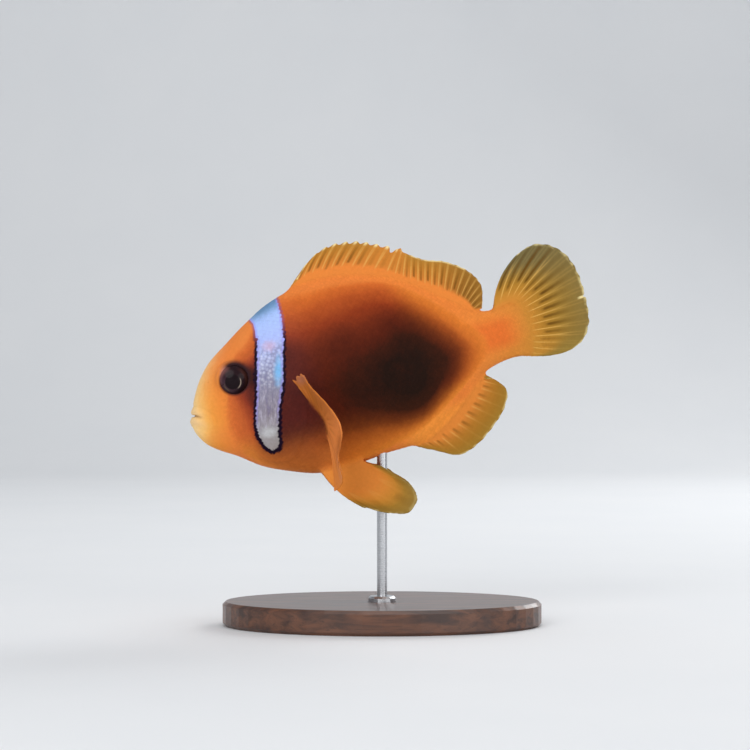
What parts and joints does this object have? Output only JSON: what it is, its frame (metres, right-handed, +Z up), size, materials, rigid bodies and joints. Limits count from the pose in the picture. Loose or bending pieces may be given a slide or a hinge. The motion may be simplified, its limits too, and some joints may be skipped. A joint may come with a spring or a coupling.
{
  "type": "clownfish display model",
  "caption": "Life-size one-barred clownfish swimming nose-down with spread fins, held by a slim steel rod over a flat oval wooden base.",
  "frame": {"origin": "centre of the base's flat underside", "axes": "+Z up, -X the way the fish's head points, -Y the fish's left side"},
  "size_m": [0.0971, 0.0532, 0.0938],
  "materials": {
    "skin": "satin painted scaled skin, orange with a black flank patch and one pale blue bar",
    "fin": "satin painted ribbed fin, orange to olive yellow",
    "eye": "high gloss dark eye",
    "stand_base": "dark stained wood, satin varnish",
    "stand_rod": "brushed steel"
  },
  "bodies": {
    "root": {"head": "skin", "lower_jaw": "skin", "gill_cover_left": "skin", "gill_cover_right": "skin", "trunk": "skin", "tail_stalk": "skin", "eye_left": "eye", "eye_right": "eye", "dorsal_fin_spiny": "fin", "dorsal_fin_soft": "fin", "anal_fin": "fin", "tail_fin": "fin", "pectoral_fin_left": "fin", "pectoral_fin_right": "fin", "pelvic_fin_left": "fin", "pelvic_fin_right": "fin", "stand_base": "stand_base", "stand_rod": "stand_rod"}
  },
  "joints": []
}
